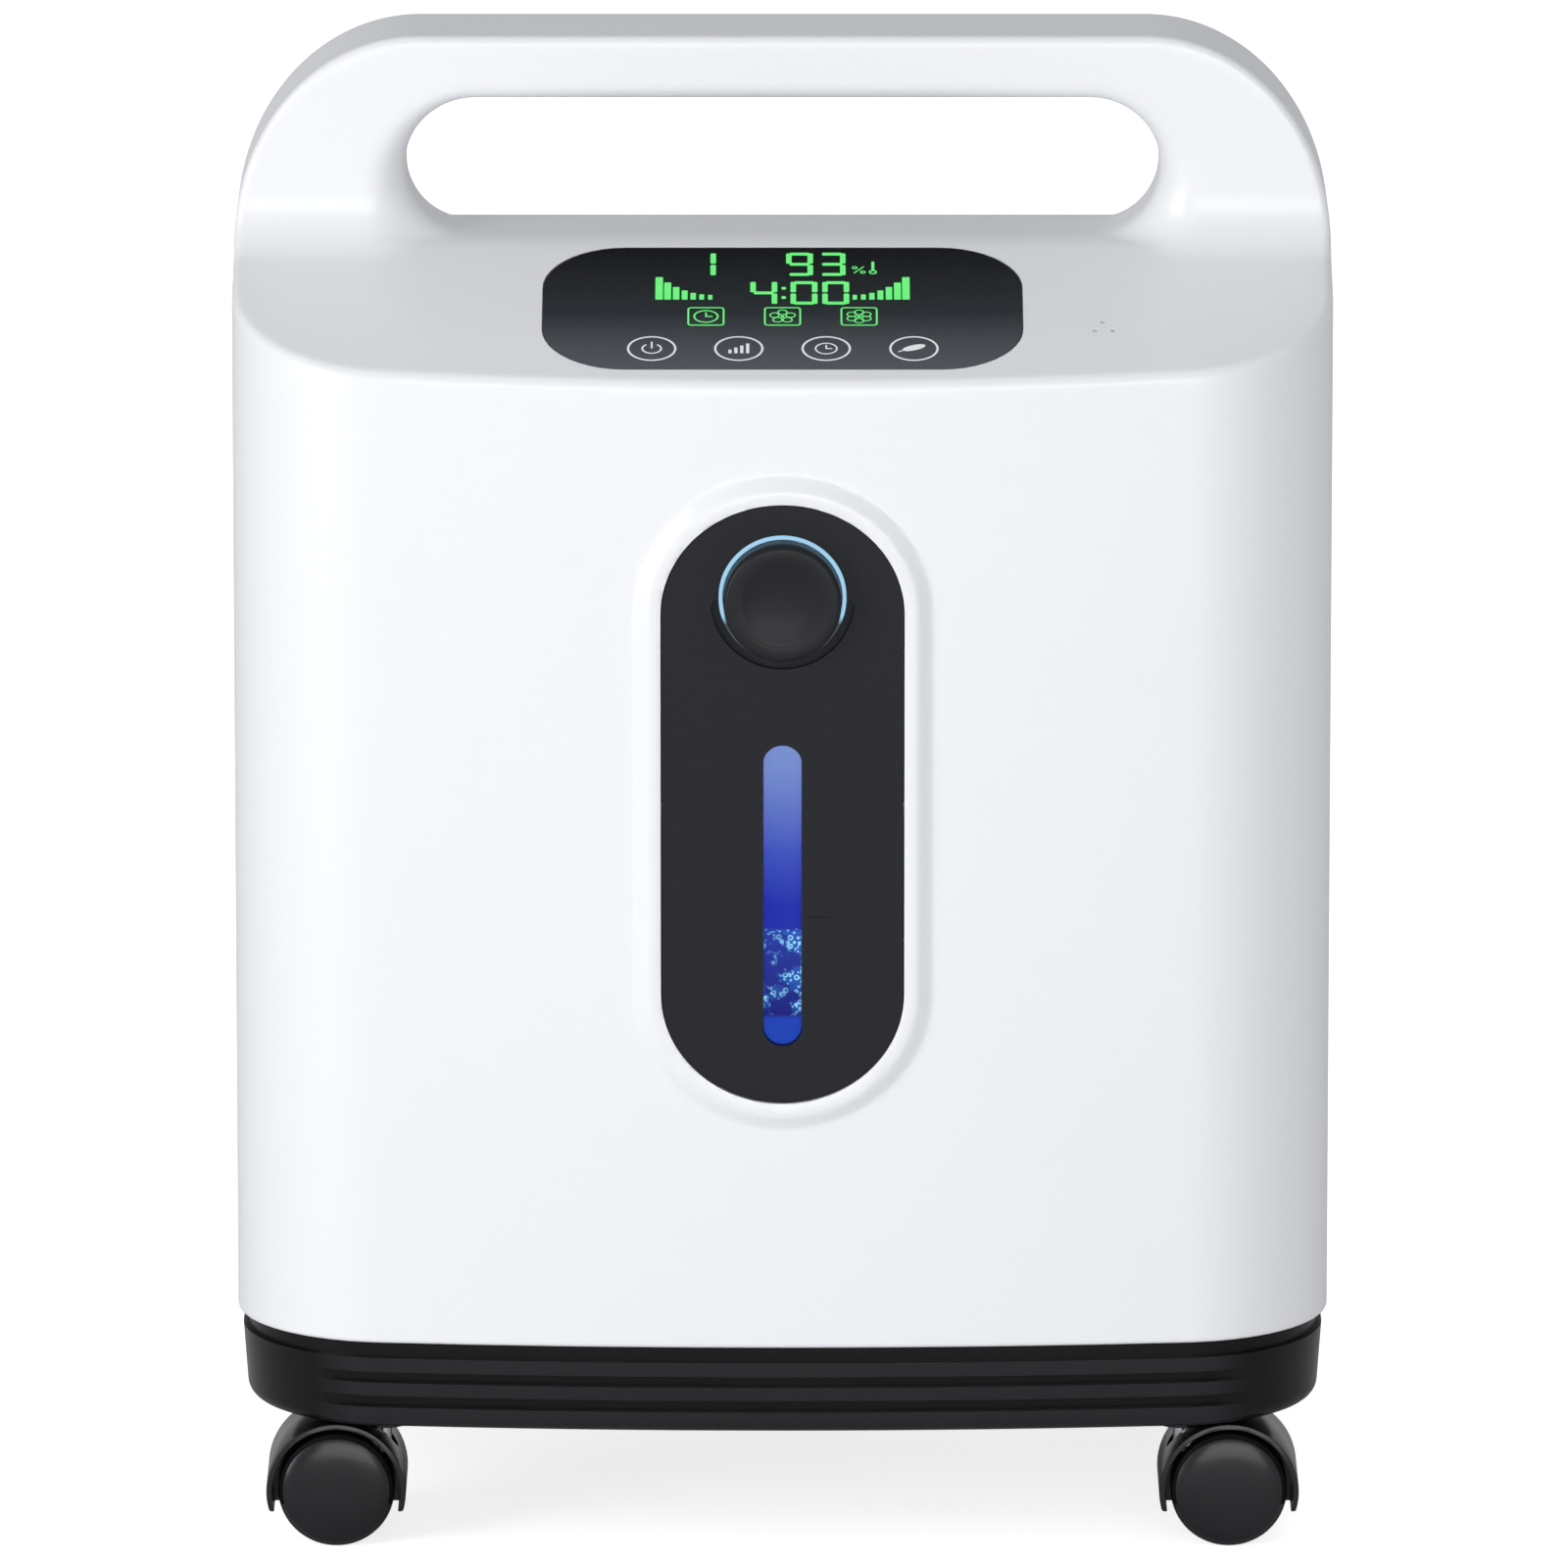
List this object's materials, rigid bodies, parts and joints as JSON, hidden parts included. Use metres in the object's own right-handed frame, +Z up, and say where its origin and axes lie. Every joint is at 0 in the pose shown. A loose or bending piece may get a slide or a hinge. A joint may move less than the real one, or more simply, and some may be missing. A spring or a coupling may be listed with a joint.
{
  "type": "oxygen concentrator",
  "caption": "Upright home oxygen concentrator with a loop carrying handle, sloping touch display, front outlet cap over a lit humidifier window, ribbed base tray and twin-wheel casters.",
  "frame": {"origin": "on the floor, under the centre of the overall box, midway between the outlet cap's face and the rear grille's face", "axes": "+Z up, +X to the right of someone facing the display, +Y away from them towards the rear grille"},
  "size_m": [0.375, 0.257, 0.5145],
  "materials": {
    "white_shell": "satin moulded plastic, slightly cool white",
    "black_tray": "satin black moulded plastic with ribs",
    "black_fascia": "fine satin black",
    "display_gloss": "gloss black window over green digits and printed keys",
    "light_ring": "frosted light guide, lit pale blue",
    "blue_window": "clear window lit deep blue from behind",
    "caster_gloss": "gloss black",
    "steel_pin": "turned steel",
    "sheet_steel": "zinc-plated sheet",
    "cast_aluminium": "as cast",
    "drawn_aluminium": "drawn and clear coated",
    "copper_tube": "bright drawn copper",
    "circuit_board": "green solder mask",
    "inner_plastic": "plain black moulding",
    "clear_plastic": "clear moulded plastic",
    "seal_rubber": "soft black rubber",
    "filter_foam": "open-cell grey foam"
  },
  "bodies": {
    "housing": {"front_shell": "white_shell", "rear_shell": "white_shell", "base_tray": "black_tray", "front_fascia": "black_fascia", "outlet_light_ring": "light_ring", "sight_window": "blue_window", "display_panel": "display_gloss", "display_board": "circuit_board", "side_grille": "white_shell", "exhaust_grille": "black_tray", "mains_inlet": "black_tray", "chassis_plate": "sheet_steel", "compressor_mount_1": "seal_rubber", "compressor_mount_2": "seal_rubber", "compressor_mount_3": "seal_rubber", "compressor_mount_4": "seal_rubber", "compressor_crankcase": "cast_aluminium", "compressor_head_right": "cast_aluminium", "compressor_head_left": "cast_aluminium", "sieve_canister_left": "drawn_aluminium", "sieve_canister_right": "drawn_aluminium", "valve_manifold": "cast_aluminium", "buffer_tank": "drawn_aluminium", "cooling_coil": "copper_tube", "intake_silencer": "inner_plastic", "fan_frame": "inner_plastic", "equipment_shelf": "sheet_steel", "control_board": "circuit_board", "power_supply": "drawn_aluminium", "anion_module": "inner_plastic", "humidifier_tank": "clear_plastic", "bubbler_tube": "clear_plastic", "caster_stem_front_left": "steel_pin", "caster_stem_front_right": "steel_pin", "caster_stem_rear_left": "steel_pin", "caster_stem_rear_right": "steel_pin"},
    "outlet_plug": {"cap_plug": "black_fascia", "cap_seal": "seal_rubber"},
    "outlet_cap": {"outlet_cap": "black_fascia"},
    "filter_cover": {"filter_cover": "black_tray", "intake_filter": "filter_foam"},
    "power_switch": {"power_switch": "black_fascia"},
    "cooling_fan": {"fan_rotor": "inner_plastic"},
    "compressor_shaft": {"crankshaft": "sheet_steel"},
    "caster_front_left": {"caster_hood_front_left": "caster_gloss", "caster_axle_front_left": "steel_pin"},
    "wheel_front_left_front": {"caster_wheel_front_left_front": "caster_gloss"},
    "wheel_front_left_back": {"caster_wheel_front_left_back": "caster_gloss"},
    "caster_front_right": {"caster_hood_front_right": "caster_gloss", "caster_axle_front_right": "steel_pin"},
    "wheel_front_right_front": {"caster_wheel_front_right_front": "caster_gloss"},
    "wheel_front_right_back": {"caster_wheel_front_right_back": "caster_gloss"},
    "caster_rear_left": {"caster_hood_rear_left": "caster_gloss", "caster_axle_rear_left": "steel_pin"},
    "wheel_rear_left_front": {"caster_wheel_rear_left_front": "caster_gloss"},
    "wheel_rear_left_back": {"caster_wheel_rear_left_back": "caster_gloss"},
    "caster_rear_right": {"caster_hood_rear_right": "caster_gloss", "caster_axle_rear_right": "steel_pin"},
    "wheel_rear_right_front": {"caster_wheel_rear_right_front": "caster_gloss"},
    "wheel_rear_right_back": {"caster_wheel_rear_right_back": "caster_gloss"}
  },
  "joints": [
    {"name": "outlet_pull", "type": "slide", "parent": "housing", "child": "outlet_plug", "axis": [0, -1, 0], "range_m": [0, 0.03]},
    {"name": "outlet_twist", "type": "hinge", "parent": "outlet_plug", "child": "outlet_cap", "pos_m": [0, -0.124, 0.3396], "axis": [0, -1, 0], "range_deg": [0, 90]},
    {"name": "filter_cover_pull", "type": "slide", "parent": "housing", "child": "filter_cover", "axis": [1, 0, 0], "range_m": [0, 0.03]},
    {"name": "power_rocker", "type": "hinge", "parent": "housing", "child": "power_switch", "pos_m": [0.105, 0.1195, 0.129], "axis": [-1, 0, 0], "range_deg": [0, 14]},
    {"name": "cooling_fan_spin", "type": "hinge", "parent": "housing", "child": "cooling_fan", "pos_m": [0, 0.1085, 0.216], "axis": [0, 1, 0], "continuous": true},
    {"name": "compressor_spin", "type": "hinge", "parent": "housing", "child": "compressor_shaft", "pos_m": [0, 0, 0.128], "axis": [0, 1, 0], "continuous": true},
    {"name": "caster_swivel_front_left", "type": "hinge", "parent": "housing", "child": "caster_front_left", "pos_m": [-0.1373, -0.075, 0.04], "axis": [0, 0, 1], "continuous": true},
    {"name": "wheel_spin_front_left_front", "type": "hinge", "parent": "caster_front_left", "child": "wheel_front_left_front", "pos_m": [-0.1533, -0.087, 0.02], "axis": [0, 1, 0], "continuous": true},
    {"name": "wheel_spin_front_left_back", "type": "hinge", "parent": "caster_front_left", "child": "wheel_front_left_back", "pos_m": [-0.1533, -0.063, 0.02], "axis": [0, 1, 0], "continuous": true},
    {"name": "caster_swivel_front_right", "type": "hinge", "parent": "housing", "child": "caster_front_right", "pos_m": [0.1373, -0.075, 0.04], "axis": [0, 0, 1], "continuous": true},
    {"name": "wheel_spin_front_right_front", "type": "hinge", "parent": "caster_front_right", "child": "wheel_front_right_front", "pos_m": [0.1533, -0.087, 0.02], "axis": [0, 1, 0], "continuous": true},
    {"name": "wheel_spin_front_right_back", "type": "hinge", "parent": "caster_front_right", "child": "wheel_front_right_back", "pos_m": [0.1533, -0.063, 0.02], "axis": [0, 1, 0], "continuous": true},
    {"name": "caster_swivel_rear_left", "type": "hinge", "parent": "housing", "child": "caster_rear_left", "pos_m": [-0.1373, 0.085, 0.04], "axis": [0, 0, 1], "continuous": true},
    {"name": "wheel_spin_rear_left_front", "type": "hinge", "parent": "caster_rear_left", "child": "wheel_rear_left_front", "pos_m": [-0.1533, 0.073, 0.02], "axis": [0, 1, 0], "continuous": true},
    {"name": "wheel_spin_rear_left_back", "type": "hinge", "parent": "caster_rear_left", "child": "wheel_rear_left_back", "pos_m": [-0.1533, 0.097, 0.02], "axis": [0, 1, 0], "continuous": true},
    {"name": "caster_swivel_rear_right", "type": "hinge", "parent": "housing", "child": "caster_rear_right", "pos_m": [0.1373, 0.085, 0.04], "axis": [0, 0, 1], "continuous": true},
    {"name": "wheel_spin_rear_right_front", "type": "hinge", "parent": "caster_rear_right", "child": "wheel_rear_right_front", "pos_m": [0.1533, 0.073, 0.02], "axis": [0, 1, 0], "continuous": true},
    {"name": "wheel_spin_rear_right_back", "type": "hinge", "parent": "caster_rear_right", "child": "wheel_rear_right_back", "pos_m": [0.1533, 0.097, 0.02], "axis": [0, 1, 0], "continuous": true}
  ]
}
